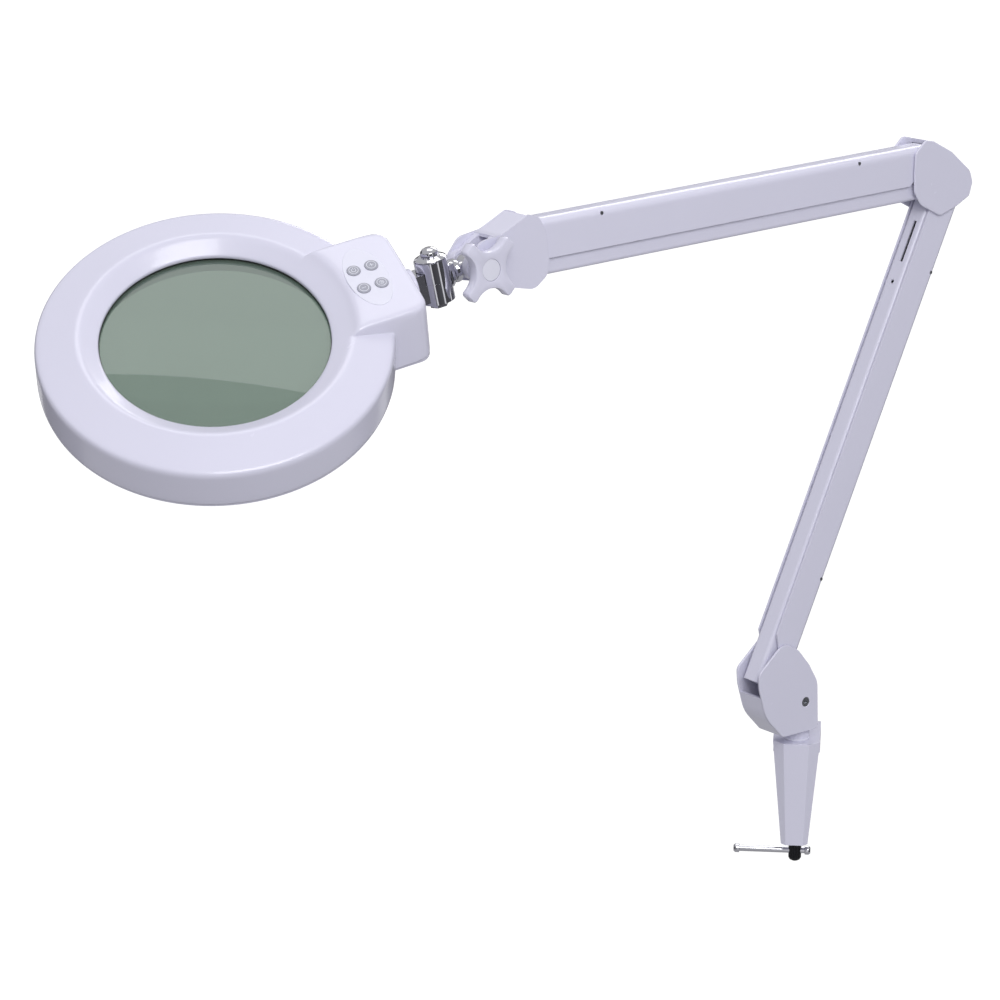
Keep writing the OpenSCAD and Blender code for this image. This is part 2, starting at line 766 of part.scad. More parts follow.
module lens() color("LightCyan", 0.4) in_head() rotate_extrude($fn = 180) polygon(concat(
    dome(2.8, -4),
    [for (i = [12:-1:0]) dome(-3.4, -7)[i]]
));

module lens_gasket() color("DimGray") in_head() rotate_extrude($fn = 180)
    polygon([[lens_r - 0.4, -2.2], [lens_r + 1.9, -2.2], [lens_r + 1.9, -3.9], [lens_r + 0.4, -3.9]]);

// Holds the lens from below and flares out to the diffuser.
module lens_ring() color("WhiteSmoke") in_head() rotate_extrude($fn = 180) polygon([
    [lens_r, -8.5], [lens_r, -7.3], [lens_r + 1.9, -7.1], [lens_r + 1.9, -10.2], [lens_r + 2.7, -10.6],
    [86, -27.7], [86, head_bottom], [85, head_bottom]
]);

module led_board() color("White") in_head() translate([0, 0, -22.5]) difference() {
    cylinder(r = 106, h = 1.6, $fn = 180);
    translate([0, 0, -1]) cylinder(r = 85, h = 4, $fn = 180);
}

module leds() color("LightYellow") in_head() for (i = [0:47]) rotate(i * 7.5)
    translate([95, 0, -22.9]) cube([3.5, 2.8, 0.8], center = true);

module diffuser() color("White", 0.7) in_head() rotate_extrude($fn = 180) polygon([
    [86.1, head_bottom + 0.6], [105.9, head_bottom + 0.6], [105.9, side_bottom + 0.1], [107.5, side_bottom + 0.1],
    [107.5, side_bottom + 1], [86.1, side_bottom + 1]
]);

module driver_board() color("ForestGreen") in_head() {
    translate([111, -30, side_bottom]) cube([22, 60, 1.6]);
    for (y = [-24, 14]) translate([114, y, side_bottom + 1.6]) cube([12, 9, 5]);
}

module button_board() color("ForestGreen") in_head() {
    translate([panel_x - 11, panel_y - 18, block_top - 7]) cube([22, 36, 1.6]);
    for (at = button_spots) translate([at.x - 2, at.y - 2, block_top - 5.4]) cube([4, 4, 2.8]);
}

module button_panel() color("Gainsboro") in_head() translate([0, 0, block_top - 1.2]) linear_extrude(1.5) difference() {
    panel_outline();
    for (at = button_spots) translate(at) circle(button_r + run_gap);
}

module button(i) {
    in_head() translate([button_spots[i].x, button_spots[i].y, block_top - 2.1]) rotate_extrude() polygon([
        [0, 0], [button_r, 0], [button_r, 2.7], [button_r - 0.3, 3], [0, 3]
    ]);
}

module power_button() color("DarkGray") button(0);

module bright_button() color("DarkGray") button(1);

module dim_button() color("DarkGray") button(2);

module colour_button() color("DarkGray") button(3);

clamp_frame();
swivel_bush();
jaw_pad();
clamp_screw();
pressure_plate();
pressure_pad();
tommy_bar();
tommy_bar_caps();
swivel_pin();
base_core();
base_front_cheek();
base_back_cheek();
base_screws();
base_pins();
lower_outer_channel();
lower_inner_channel();
lower_springs();
lower_spring_posts();
lower_lead();
elbow_core();
elbow_front_cheek();
elbow_back_cheek();
elbow_screws();
elbow_pins();
upper_outer_channel();
upper_inner_channel();
upper_springs();
upper_spring_posts();
upper_lead();
head_knuckle_core();
head_knuckle_front_cheek();
head_knuckle_back_cheek();
head_knuckle_screws();
head_knuckle_pins();
tilt_bolt();
star_knob();
knob_cap();
neck();
hinge_pin();
cone_washer();
hinge_nut();
shank();
shank_collar();
shank_nut();
top_cover();
bottom_cover();
cover_screws();
lens();
lens_gasket();
lens_ring();
led_board();
leds();
diffuser();
driver_board();
button_board();
button_panel();
power_button();
dim_button();
bright_button();
colour_button();
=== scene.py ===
import json
import math

import bmesh
import bpy
from mathutils import Matrix, Vector


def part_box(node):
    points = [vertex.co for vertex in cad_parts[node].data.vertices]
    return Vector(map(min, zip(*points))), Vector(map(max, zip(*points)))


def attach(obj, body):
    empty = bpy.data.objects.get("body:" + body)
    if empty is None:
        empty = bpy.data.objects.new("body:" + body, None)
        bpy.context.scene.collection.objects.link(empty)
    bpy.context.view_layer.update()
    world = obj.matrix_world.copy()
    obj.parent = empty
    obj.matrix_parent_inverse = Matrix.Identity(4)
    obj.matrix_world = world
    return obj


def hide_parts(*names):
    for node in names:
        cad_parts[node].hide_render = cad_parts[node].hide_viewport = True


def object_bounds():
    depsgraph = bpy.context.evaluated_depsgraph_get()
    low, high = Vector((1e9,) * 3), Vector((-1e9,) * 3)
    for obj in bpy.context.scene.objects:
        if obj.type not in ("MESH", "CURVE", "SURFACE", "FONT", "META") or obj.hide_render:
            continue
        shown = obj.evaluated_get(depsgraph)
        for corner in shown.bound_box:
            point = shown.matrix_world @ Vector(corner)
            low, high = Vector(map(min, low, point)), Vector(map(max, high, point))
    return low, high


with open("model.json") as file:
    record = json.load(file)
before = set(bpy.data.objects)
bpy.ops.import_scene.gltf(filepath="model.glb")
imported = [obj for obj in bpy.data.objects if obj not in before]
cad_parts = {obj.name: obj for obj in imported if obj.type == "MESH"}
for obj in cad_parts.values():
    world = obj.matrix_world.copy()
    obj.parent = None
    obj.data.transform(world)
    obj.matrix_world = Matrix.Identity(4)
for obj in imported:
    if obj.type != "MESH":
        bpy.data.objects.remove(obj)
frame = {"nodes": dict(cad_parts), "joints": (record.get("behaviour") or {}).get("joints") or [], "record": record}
cad_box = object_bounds()

MM = 0.001
UP = Vector((0, 0, 1))
nodes = frame["nodes"]
record = frame["record"]
joints = {j["name"]: j for j in frame["joints"]}
slot_of = {s["node"]: s["material_slot"] for s in record["subparts"]}
body_of = {n: body for body, names in record["behaviour"]["bodies"].items() for n in names}


# ---------- frames taken from the joints ----------

def joint_axis(name):
    return Vector(joints[name]["axis"]).normalized()


def joint_pos(name):
    return Vector(joints[name]["pos_m"])


def frame_matrix(x, y, z, origin):
    """A matrix from millimetres along three axes about an origin to metres in the world."""
    turn = Matrix((x, y, z)).transposed().to_4x4()
    return Matrix.Translation(origin) @ turn @ Matrix.Scale(MM, 4)


# metres from the head-roll joint back along the shank to the middle of the head, and up from the shank's axis
SHANK_TO_CENTRE = 0.156
SHANK_BELOW_RIM = 0.009
head_x = joint_axis("head_roll")
head_z = -joint_axis("power_press")
head_y = head_z.cross(head_x)
head_centre = joint_pos("head_roll") - SHANK_TO_CENTRE * head_x + SHANK_BELOW_RIM * head_z
HEAD = frame_matrix(head_x, head_y, head_z, head_centre)

arm_y = -joint_axis("lower_arm_lean")


def arm_frame(low_joint, high_joint):
    start = joint_pos(low_joint)
    along = (joint_pos(high_joint) - start).normalized()
    return frame_matrix(arm_y.cross(along), arm_y, along, start)


LOWER_ARM = arm_frame("lower_arm_lean", "elbow_level")
UPPER_ARM = arm_frame("upper_arm_lean", "head_level")


# ---------- materials ----------

CLOUD_SCALE = 22.0
SMEAR_SCALE = 60.0
SCRATCH_SCALE = 260.0
SCRATCH_STRETCH = 30.0
GRAIN_DEPTH = 0.0004
COAT_ROUGH = 0.08
# the band of a noise's values that is spread over the whole change of colour or gloss
NOISE_LOW, NOISE_HIGH = 0.3, 0.7
# the band of edge sharpness over which wear sets in, and how much paler a worn edge is
WEAR_LOW, WEAR_HIGH = 0.52, 0.60
WEAR_GAIN, WEAR_LIFT = 1.15, 0.04


def rgb(r, g, b):
    """A linear colour from an sRGB one."""
    return tuple(((c / 255 + 0.055) / 1.055) ** 2.4 for c in (r, g, b)) + (1.0,)


def scaled(colour, gain, lift=0.0):
    """A colour made darker or lighter, with no channel over 1."""
    return tuple(min(1.0, c * gain + lift) for c in colour[:3]) + (1.0,)


def add(tree, kind, **values):
    """A new node, with each value on the input or the setting of that name."""
    node = tree.nodes.new(kind)
    for key, value in values.items():
        if key in node.inputs:
            node.inputs[key].default_value = value
        else:
            setattr(node, key, value)
    return node


def noise(tree, where, scale, detail, roughness):
    node = add(tree, "ShaderNodeTexNoise", Scale=scale, Detail=detail, Roughness=roughness)
    tree.links.new(where, node.inputs["Vector"])
    return node.outputs["Fac"]


def mapped(tree, value, old, new):
    """A value carried from an old range to a new one, both given as (low, high)."""
    node = add(tree, "ShaderNodeMapRange")
    for name, limit in zip(("From Min", "From Max", "To Min", "To Max"), old + new):
        node.inputs[name].default_value = limit
    tree.links.new(value, node.inputs["Value"])
    return node.outputs["Result"]


def colour_ramp(tree, share, stops):
    """The colour at a share of a ramp, which runs through stops of (position, colour)."""
    node = add(tree, "ShaderNodeValToRGB")
    elements = node.color_ramp.elements
    elements[0].position, elements[0].color = stops[0]
    elements[1].position, elements[1].color = stops[-1]
    for position, colour in stops[1:-1]:
        elements.new(position).color = colour
    tree.links.new(share, node.inputs["Fac"])
    return node.outputs["Color"]


def worn_edges(tree, base, colour, wear):
    """The base colour, made paler on convex edges."""
    sharpness = add(tree, "ShaderNodeNewGeometry").outputs["Pointiness"]
    mask = mapped(tree, sharpness, (WEAR_LOW, WEAR_HIGH), (0.0, wear))
    mix = add(tree, "ShaderNodeMix", data_type="RGBA")
    mix.inputs["B"].default_value = scaled(colour, WEAR_GAIN, WEAR_LIFT)
    tree.links.new(mask, mix.inputs["Factor"])
    tree.links.new(base, mix.inputs["A"])
    return mix.outputs["Result"]


def scratched(tree, where, grain, scratch):
    """The grain, with fine lines mixed in."""
    stretch = add(tree, "ShaderNodeMapping")
    stretch.inputs["Scale"].default_value = (1.0, 1.0, SCRATCH_STRETCH)
    tree.links.new(where, stretch.inputs["Vector"])
    lines = noise(tree, stretch.outputs["Vector"], SCRATCH_SCALE, 6.0, 0.8)
    mix = add(tree, "ShaderNodeMix", data_type="FLOAT")
    mix.inputs["Factor"].default_value = scratch
    tree.links.new(grain, mix.inputs["A"])
    tree.links.new(lines, mix.inputs["B"])
    return mix.outputs["Result"]


def finish_material(
    name, colour, rough, metallic=0.0, coat=0.0, ior=1.46, grain_mm=0.5, bump=0.02, mottle=0.03,
    rough_spread=0.05, scratch=0.0, transmission=0.0, wear=0.0,
):
    """A finish with a cloudy colour, uneven gloss and a fine surface grain, all in the object's own space."""
    material = bpy.data.materials.new(name)
    material.use_nodes = True
    tree = material.node_tree
    shader = tree.nodes["Principled BSDF"]
    shader.inputs["Metallic"].default_value = metallic
    shader.inputs["IOR"].default_value = ior
    shader.inputs["Coat Weight"].default_value = coat
    shader.inputs["Coat Roughness"].default_value = COAT_ROUGH
    shader.inputs["Transmission Weight"].default_value = transmission
    where = add(tree, "ShaderNodeTexCoord").outputs["Object"]

    cloud = noise(tree, where, CLOUD_SCALE, 4.0, 0.6)
    stops = [(NOISE_LOW, scaled(colour, 1 - mottle)), (NOISE_HIGH, scaled(colour, 1 + mottle))]
    base = colour_ramp(tree, cloud, stops)
    if wear:
        base = worn_edges(tree, base, colour, wear)
    tree.links.new(base, shader.inputs["Base Color"])

    smear = noise(tree, where, SMEAR_SCALE, 5.0, 0.7)
    spread = (max(0.0, rough - rough_spread), rough + rough_spread)
    gloss = mapped(tree, smear, (NOISE_LOW, NOISE_HIGH), spread)
    tree.links.new(gloss, shader.inputs["Roughness"])

    height = noise(tree, where, 1000.0 / grain_mm, 3.0, 0.55)
    if scratch:
        height = scratched(tree, where, height, scratch)
    relief = add(tree, "ShaderNodeBump", Strength=bump, Distance=GRAIN_DEPTH)
    tree.links.new(height, relief.inputs["Height"])
    tree.links.new(relief.outputs["Normal"], shader.inputs["Normal"])
    return material


BODY_WHITE = rgb(214, 213, 231)
LOOKS = {
    "white_enamel": dict(
        colour=BODY_WHITE, rough=0.30, coat=0.25, grain_mm=0.7, bump=0.10, mottle=0.006, rough_spread=0.004),
    "white_plastic": dict(
        colour=BODY_WHITE, rough=0.27, coat=0.35, grain_mm=0.35, bump=0.05, mottle=0.005, rough_spread=0.004),
    "bush_plastic": dict(colour=rgb(222, 222, 236), rough=0.38, bump=0.08, mottle=0.02),
    "black_rubber": dict(colour=rgb(34, 34, 36), rough=0.62, grain_mm=0.25, bump=0.5, mottle=0.15),
    "blackened_steel": dict(
        colour=rgb(38, 38, 42), rough=0.36, metallic=0.75, grain_mm=0.3, bump=0.15, mottle=0.18, wear=0.6),
    "chrome": dict(
        colour=rgb(208, 208, 214), rough=0.07, metallic=1.0, grain_mm=1.5, bump=0.015, mottle=0.02,
        rough_spread=0.03),
    "steel": dict(
        colour=rgb(176, 178, 184), rough=0.30, metallic=1.0, grain_mm=0.2, bump=0.08, mottle=0.05,
        scratch=0.5),
    "lens_glass": dict(
        colour=rgb(127, 145, 134), rough=0.015, ior=1.5, grain_mm=40.0, bump=0.0, mottle=0.01,
        rough_spread=0.003, transmission=0.6),
    "diffuser_plastic": dict(colour=rgb(240, 240, 238), rough=0.5, bump=0.2, mottle=0.01, transmission=0.25),
    "board": dict(colour=rgb(36, 92, 58), rough=0.4, grain_mm=0.6, bump=0.2, mottle=0.12),
    "led_white": dict(colour=rgb(244, 238, 200), rough=0.25, bump=0.03, mottle=0.04),
    "grey_panel": dict(colour=rgb(221, 221, 236), rough=0.42, grain_mm=0.25, bump=0.10, mottle=0.01),
    "grey_button": dict(colour=rgb(162, 163, 176), rough=0.45, grain_mm=0.2, bump=0.15, mottle=0.03),
}
FINISHES = {name: finish_material(name, **look) for name, look in LOOKS.items()}
MARK_WHITE = finish_material("icon_white", rgb(226, 227, 236), 0.4, grain_mm=0.2, bump=0.05, mottle=0.02)

for node_name, node_object in nodes.items():
    node_object.data.materials.clear()
    node_object.data.materials.append(FINISHES[slot_of[node_name]])


# ---------- mesh helpers ----------

SHARP_DEG = 38
# in a CAD solid to be softened, points this close (in metres) are one, faces this flat are one,
# and edges at least this sharp are rounded
WELD = 2e-6
FLAT_DEG = 0.7
EDGE_DEG = 30
BEVEL_SEGMENTS = 3


def shade(mesh, sharp_deg=SHARP_DEG):
    mesh.shade_smooth()
    mesh.set_sharp_from_angle(angle=math.radians(sharp_deg))


def add_piece(name, mesh, body, slot, *replaced, material=None):
    piece = bpy.data.objects.new(name, mesh)
    bpy.context.scene.collection.objects.link(piece)
    mesh.materials.clear()
    mesh.materials.append(material or FINISHES[slot])
    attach(piece, body)
    if replaced:
        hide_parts(*replaced)
    return piece


def mesh_from(name, points, faces, matrix=Matrix.Identity(4), sharp_deg=SHARP_DEG):
    mesh = bpy.data.meshes.new(name)
    mesh.from_pydata([matrix @ Vector(p) for p in points], [], faces)
    mesh.update()
    shade(mesh, sharp_deg)
    return mesh


def soften(node, width_mm):
    """Stands a copy of a CAD node, with its sharp edges rounded, in the node's place."""
    solid = bmesh.new()
    solid.from_mesh(nodes[node].data)
    bmesh.ops.remove_doubles(solid, verts=solid.verts, dist=WELD)
    bmesh.ops.dissolve_limit(
        solid, angle_limit=math.radians(FLAT_DEG), verts=solid.verts, edges=solid.edges)
    limit = math.radians(EDGE_DEG)
    sharp = [e for e in solid.edges if len(e.link_faces) == 2 and e.calc_face_angle(0) > limit]
    bmesh.ops.bevel(
        solid, geom=sharp, offset=width_mm * MM, offset_type="OFFSET", segments=BEVEL_SEGMENTS, profile=0.5,
        affect="EDGES", clamp_overlap=True)
    mesh = bpy.data.meshes.new(node + "_soft")
    solid.to_mesh(mesh)
    solid.free()
    shade(mesh)
    piece = add_piece(node + "_soft", mesh, body_of[node], slot_of[node], node)
    piece.modifiers.new("flat_faces", "WEIGHTED_NORMAL").keep_sharp = True
    return piece


def turned(name, profile, matrix, steps, sharp_deg):
    """A closed shape turned about z from half its outline: (radius, height) points from axis to axis."""
    points, faces, rows = [], [], []
    for radius, height in profile:
        if radius < 1e-6:
            rows.append([len(points)] * steps)
            points.append((0, 0, height))
            continue
        rows.append(list(range(len(points), len(points) + steps)))
        for i in range(steps):
            turn = 2 * math.pi * i / steps
            points.append((radius * math.cos(turn), radius * math.sin(turn), height))
    for low, high in zip(rows, rows[1:]):
        for i in range(steps):
            j = (i + 1) % steps
            quad = [low[i], low[j], high[j], high[i]]
            faces.append([v for n, v in enumerate(quad) if v != quad[n - 1]])
    return mesh_from(name, points, faces, matrix, sharp_deg)


def tube(name, path, radius, matrix, sides):
    """A closed round tube of the given radius along a list of points."""
    path = [Vector(p) for p in path]
    points, faces = [], []
    across = None
    for i, here in enumerate(path):
        ahead = (path[min(i + 1, len(path) - 1)] - path[max(i - 1, 0)]).normalized()
        if across is None:
            across = ahead.orthogonal().normalized()
        across = (across - across.dot(ahead) * ahead).normalized()
        other = ahead.cross(across)
        for k in range(sides):
            turn = 2 * math.pi * k / sides
            points.append(here + radius * (math.cos(turn) * across + math.sin(turn) * other))
    for i in range(len(path) - 1):
        for k in range(sides):
            j = (k + 1) % sides
            faces.append([i * sides + k, i * sides + j, (i + 1) * sides + j, (i + 1) * sides + k])
    faces.append(list(range(sides))[::-1])
    faces.append([len(points) - sides + k for k in range(sides)])
    return mesh_from(name, points, faces, matrix)


# ---------- head cover ----------

# the round cover's outline from the lip round the lens, over the crest and down the side:
# (radius, height) in mm
RING = [
    (75.5, -2.2), (75.5, -0.6), (76.1, 0.3), (79, 2.0), (84, 4.85), (87, 6.6), (89.5, 7.25), (92.5, 6.5),
    (99, 4.75), (107, 2.65), (113, 1.1), (115.9, 0.1), (117, -2.4), (117, -6), (117, -9), (117, -18),
    (117, -25.8), (116.8, -28),
]
# the first rows of the outline, which the control block's columns share with the ring's
CREST_ROWS = 6
# the rest of the rows over the control block: (radius, height) up from the crest, then (x, height)
BLOCK_SLOPE = [(90, 8.5), (93, 10.9), (97.5, 11.5)]
BLOCK_TOP = [(100, 11.5), (117, 11.5), (131, 11.5), (135.2, 10.7), (136, 7.6), (136, -2), (136, -16)]
BLOCK_FOOT = [(136, -25.8), (135.8, -28)]
BLOCK_YS = [-29, -17, -7, 7, 20, 30]
BLOCK_TOP_Z = 11.5
BLOCK_HALF = 39.0
DRAFT = 8.5 / 39.5
# the radius at which a block column's y sets its angle, and half the block's width there
CREST_R, CREST_HALF = 88.5, 39.9
# how much of a corner column's drop each slope row takes, and how far it stays above the ring
SLOPE_SHARES = (0.25, 0.7, 1.0)
ABOVE_RING = 0.2
# the ring's plain columns start this far round from the block, and stand about a step apart
RING_FROM_DEG, STEP_DEG = 31, 7.1
# widens the plain columns so that the subdivided surface runs at the true radius
ROUNDING = 3 / (2 + math.cos(math.radians(STEP_DEG)))
# columns between the block's wall and its foot on the ring, as shares of the way, and one past the foot
WALL_SHARES = (0.5, 0.93)
PAST_FOOT_DEG = 1.3
# the rows whose faces are left out for the button panel and for the shank
PANEL_ROW, SHANK_ROW = 9, 14
COVER_SUBDIVISIONS = 2
COVER_SKIN = 2.0
COVER_SHARP_DEG = 60


def block_half(z):
    return BLOCK_HALF + (BLOCK_TOP_Z - z) * DRAFT


def on_ring(row, angle):
    radius, z = RING[row]
    return Vector((radius * math.cos(angle), radius * math.sin(angle), z))


def at_radius(radius, y, z):
    return Vector((math.sqrt(radius * radius - y * y), y, z))


def ring_column(angle):
    column = [on_ring(row, angle) for row in range(len(RING))]
    return [Vector((p.x * ROUNDING, p.y * ROUNDING, p.z)) for p in column]


def crest_column(y):
    angle = math.asin(y / CREST_R)
    return [on_ring(row, angle) for row in range(CREST_ROWS)]


def block_column(y):
    column = crest_column(y)
    column += [at_radius(radius, y, z) for radius, z in BLOCK_SLOPE]
    return column + [Vector((x, y, z)) for x, z in BLOCK_TOP + BLOCK_FOOT]


def corner_column(y, drop, ends):
    """A column near the block's long edge, with (x, inset from the wall, height) for its lower points."""
    column = crest_column(y)
    for i, (radius, z) in enumerate(BLOCK_SLOPE):
        ring_z = RING[CREST_ROWS + i][1]
        column.append(at_radius(radius, y, max(z - drop * SLOPE_SHARES[i], ring_z + ABOVE_RING)))
    column += [Vector((x, y, z - drop)) for x, z in BLOCK_TOP[:2]]
    return column + [Vector((x, block_half(z) - inset, z)) for x, inset, z in ends]


def foot_column(past):
    """A column along the line where the block's wall meets the ring, or an angle past it."""
    column = []
    for row, (radius, z) in enumerate(RING):
        share = CREST_HALF / CREST_R if row < CREST_ROWS else block_half(z) / radius
        column.append(on_ring(row, math.asin(share) + past))
    return column


def between(a, b, share):
    return [p.lerp(q, share) for p, q in zip(a, b)]


def side_columns():
    """The columns from the block's top edge down its wall to the ring, on the +y side."""
    inner = corner_column(36.0, 0.0, [
        (129.5, 4.5, 11.5), (134.8, 7.5, 10.7), (136, 9.6, 7.6), (136, 9.8, -2), (136, 9.8, -16),
        (136, 9.8, -25.8), (135.8, 9.9, -28)])
    edge = corner_column(38.5, 0.55, [
        (128.5, 1.5, 10.9), (132.5, 3.4, 10.1), (133.4, 2.6, 7.4), (133.4, 2.6, -2), (133.4, 2.6, -16),
        (133.4, 2.6, -25.8), (133.3, 2.8, -28)])
    wall = corner_column(39.45, 2.9, [
        (126, 0.0, 8.6), (126.8, 0.0, 8.0), (126.5, 0.0, 5.5), (126.5, 0.0, -2.5), (126.5, 0.0, -16),
        (126.5, 0.0, -25.8), (126.5, 0.2, -28)])
    foot = foot_column(0.0)
    past_foot = foot_column(math.radians(PAST_FOOT_DEG))
    return [inner, edge, wall] + [between(wall, foot, share) for share in WALL_SHARES] + [foot, past_foot]


def mirrored(column):
    return [Vector((p.x, -p.y, p.z)) for p in column]


def head_cover():
    """The moulded cover: columns of points round the lens, joined up, smoothed and given a skin."""
    span = 360 - 2 * RING_FROM_DEG
    count = round(span / STEP_DEG)
    angles = [math.radians(RING_FROM_DEG + span * i / count) for i in range(count + 1)]
    side = side_columns()
    columns = [ring_column(a) for a in angles] + [mirrored(c) for c in reversed(side)]
    first = len(columns)
    columns += [block_column(y) for y in BLOCK_YS] + side
    left_out = {(first + i, PANEL_ROW) for i in (1, 2, 3)}
    left_out.add((first + 2, SHANK_ROW))
    rows = len(RING)
    faces = []
    for c in range(len(columns)):
        after = (c + 1) % len(columns)
        for r in range(rows - 1):
            if (c, r) not in left_out:
                faces.append([c * rows + r, c * rows + r + 1, after * rows + r + 1, after * rows + r])
    points = [p for column in columns for p in column]
    mesh = mesh_from("head_cover", points, faces, HEAD, COVER_SHARP_DEG)
    cover = add_piece("head_cover", mesh, "head", "white_plastic", "top_cover")
    smooth = cover.modifiers.new("smooth", "SUBSURF")
    smooth.levels = smooth.render_levels = COVER_SUBDIVISIONS
    skin = cover.modifiers.new("skin", "SOLIDIFY")
    skin.thickness = COVER_SKIN * MM
    skin.offset = -1


head_cover()

# ---------- lens ----------

LENS_EDGE = 76.7
TOP_RISE, TOP_EDGE = 2.8, -4.0
LOW_RISE, LOW_EDGE = 3.4, -7.0
LENS_STEPS, LENS_AROUND = 28, 192
LENS_SHARP_DEG = 30


def lens_face(edge, rise):
    """Half the outline of a face that bulges by a rise from its edge, out from the axis."""
    shares = [i / LENS_STEPS for i in range(LENS_STEPS + 1)]
    return [(LENS_EDGE * share, edge + rise * (1 - share ** 2)) for share in shares]


lens_outline = lens_face(LOW_EDGE, -LOW_RISE) + lens_face(TOP_EDGE, TOP_RISE)[::-1]
lens_mesh = turned("lens_glass", lens_outline, HEAD, LENS_AROUND, LENS_SHARP_DEG)
add_piece("lens_glass", lens_mesh, "head", "lens_glass", "lens")

# ---------- buttons ----------

BUTTON_EDGE = 0.35
MARK_WIRE, MARK_LIFT, MARK_SIDES = 0.22, 0.05, 8


def button_frame(node):
    """A frame in the middle of a button's face, in mm."""
    low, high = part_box(node)
    middle = HEAD.inverted() @ ((low + high) / 2)
    top = max((HEAD.inverted() @ v.co).z for v in nodes[node].data.vertices)
    return HEAD @ Matrix.Translation((middle.x, middle.y, top))


def arc(radius, start, end, steps=20):
    turns = [math.radians(start + (end - start) * i / steps) for i in range(steps + 1)]
    return [(radius * math.cos(t), radius * math.sin(t), MARK_LIFT) for t in turns]


def stroke(start, end):
    return [(*start, MARK_LIFT), (*end, MARK_LIFT)]


# the raised marks on each button, inside a ring that they all have
MARKS = {
    "power_button": [arc(1.5, 130, 410), stroke((0, 0.4), (0, 2.1))],
    "dim_button": [stroke((-1.5, 0), (1.5, 0))],
    "bright_button": [stroke((-1.5, 0), (1.5, 0)), stroke((0, -1.5), (0, 1.5))],
    "colour_button": [arc(1.4, 0, 360), arc(0.5, 0, 360)],
}
MARK_RING = arc(3.1, 0, 360, 40)

for node in MARKS:
    soften(node, BUTTON_EDGE)
for node, marks in MARKS.items():
    for i, path in enumerate(marks + [MARK_RING]):
        mark = tube(f"{node}_mark_{i}", path, MARK_WIRE, button_frame(node), MARK_SIDES)
        add_piece(f"{node}_mark_{i}", mark, body_of[node], "grey_panel", material=MARK_WHITE)

# ---------- springs ----------

SPRING_X, SPRING_Y = 6.0, 3.3
SPRING_R, SPRING_WIRE, SPRING_SIDES = 2.05, 0.32, 6
# from an arm's joint to its spring post, from the post to the end of the wire, along the wire's
# straight part, and from its end to the first coil
POST_FROM_END, POST_TO_WIRE, LEAD, HOOK = 64.0, 1.8, 2.5, 7.0
COILS, COIL_STEPS = 62, 12


def spring_path(length, y):
    """A coil with a straight lead at each end, for an arm of this length."""
    low, high = POST_FROM_END + POST_TO_WIRE, length - POST_FROM_END - POST_TO_WIRE
    path = [(SPRING_X, y, low), (SPRING_X, y, low + LEAD)]
    for i in range(COILS * COIL_STEPS + 1):
        turn = 2 * math.pi * i / COIL_STEPS
        z = low + HOOK + (high - low - 2 * HOOK) * i / (COILS * COIL_STEPS)
        path.append((SPRING_X + SPRING_R * math.cos(turn), y + SPRING_R * math.sin(turn), z))
    return path + [(SPRING_X, y, high - LEAD), (SPRING_X, y, high)]


for arm, matrix, low_joint, high_joint in (
    ("lower", LOWER_ARM, "lower_arm_lean", "elbow_level"),
    ("upper", UPPER_ARM, "upper_arm_lean", "head_level"),
):
    length = (joint_pos(high_joint) - joint_pos(low_joint)).length / MM
    for i, y in enumerate((-SPRING_Y, SPRING_Y)):
        coil = tube(f"{arm}_spring_{i}", spring_path(length, y), SPRING_WIRE, matrix, SPRING_SIDES)
        piece = add_piece(f"{arm}_spring_{i}", coil, f"{arm}_arm", "steel")
        if i == 0:
            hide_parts(f"{arm}_springs")

# ---------- softened CAD shapes ----------

# the width of each node's rounded edges, in mm
EDGE_WIDTHS = {
    "clamp_frame": 1.0, "swivel_bush": 0.5, "jaw_pad": 0.5, "pressure_plate": 0.3, "pressure_pad": 0.4,
    "tommy_bar_caps": 0.4, "base_core": 0.5, "base_front_cheek": 0.9, "base_back_cheek": 0.9,
    "elbow_core": 0.5, "elbow_front_cheek": 0.9, "elbow_back_cheek": 0.9,
    "head_knuckle_core": 0.5, "head_knuckle_front_cheek": 0.9, "head_knuckle_back_cheek": 0.9,
    "knob_cap": 0.3, "neck": 0.45, "shank": 0.45, "cone_washer": 0.3, "hinge_nut": 0.4,
    "hinge_pin": 0.3, "tilt_bolt": 0.4, "shank_collar": 0.9, "bottom_cover": 0.8, "button_panel": 0.25,
    "lower_outer_channel": 0.35, "lower_inner_channel": 0.3, "upper_outer_channel": 0.35,
    "upper_inner_channel": 0.3,
}
for node, width in EDGE_WIDTHS.items():
    soften(node, width)

# ---------- star knob ----------

# how far a lobe reaches, a scoop's radius, its centre's distance along both axes, and a tip's corner
LOBE, SCOOP, SCOOP_AT, TIP_ROUND = 24.6, 15.0, 19.445, 2.2
LOBES = 4
KNOB_TURN = math.radians(48)
KNOB_SHARP_DEG = 35
TIP_STEPS, SCOOP_STEPS = 6, 14
# (inset of the outline, depth from the tilt bolt) from the back of the plate to its front
KNOB_ROWS = [(1.2, -18), (0.35, -18.35), (0, -19.2), (0, -24.6), (0.4, -25.6), (1.4, -26)]
# (radius, depth) of the hub behind the plate and of the recess in its front
HUB = [(3.1, -13.2), (9, -13.2), (9, -18)]
RECESS = [(8.2, -26), (7.5, -25.7), (7.5, -24.8), (0.5, -24.8)]


